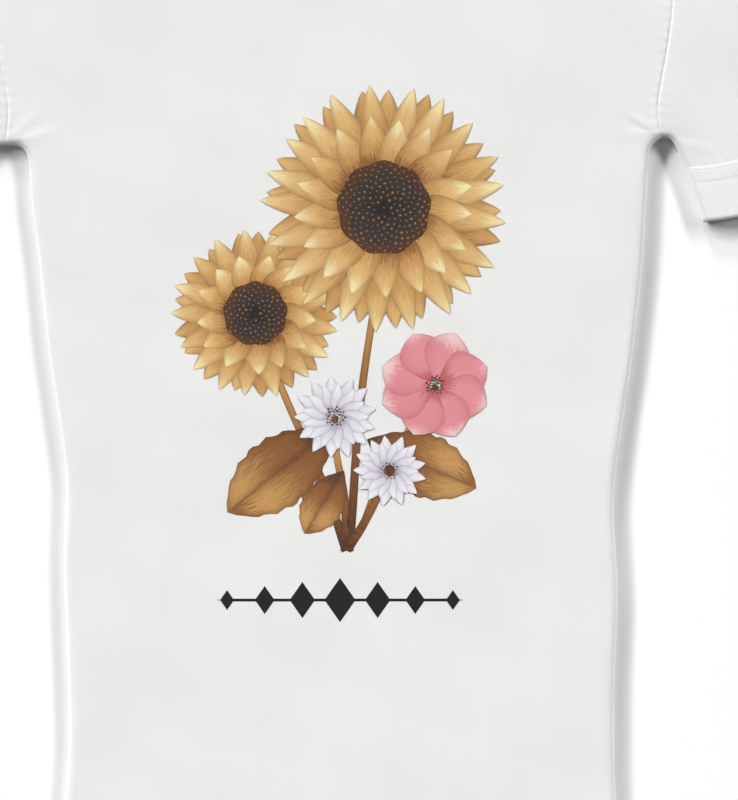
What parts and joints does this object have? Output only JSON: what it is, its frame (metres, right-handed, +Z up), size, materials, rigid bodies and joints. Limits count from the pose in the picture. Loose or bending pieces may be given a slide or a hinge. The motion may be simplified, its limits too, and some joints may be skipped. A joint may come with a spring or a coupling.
{
  "type": "t-shirt",
  "caption": "White short-sleeved T-shirt lying flat, front up, with a ribbed crew neck, twin-stitched hems and a floral print on the chest.",
  "frame": {"origin": "middle of the ground that the shirt covers", "axes": "+Z up out of the front of the shirt, +Y from the hem towards the neck, +X towards the sleeve at the right of the picture"},
  "size_m": [0.752, 0.706, 0.0102],
  "materials": {
    "jersey": "matt cotton single jersey, fine lengthwise wales",
    "rib": "matt cotton one by one rib",
    "woven_label": "blank woven satin",
    "gold_ink": "matt screen print in many colours, golden tan for the most part",
    "black_ink": "matt black screen print"
  },
  "bodies": {
    "root": {"front_panel": "jersey", "back_panel": "jersey", "body_hem": "jersey", "sleeve_right": "jersey", "sleeve_left": "jersey", "sleeve_hem_right": "jersey", "sleeve_hem_left": "jersey", "neck_rib": "rib", "neck_tape": "jersey", "neck_label": "woven_label", "print_picture": "gold_ink", "print_rule": "black_ink"}
  },
  "joints": []
}
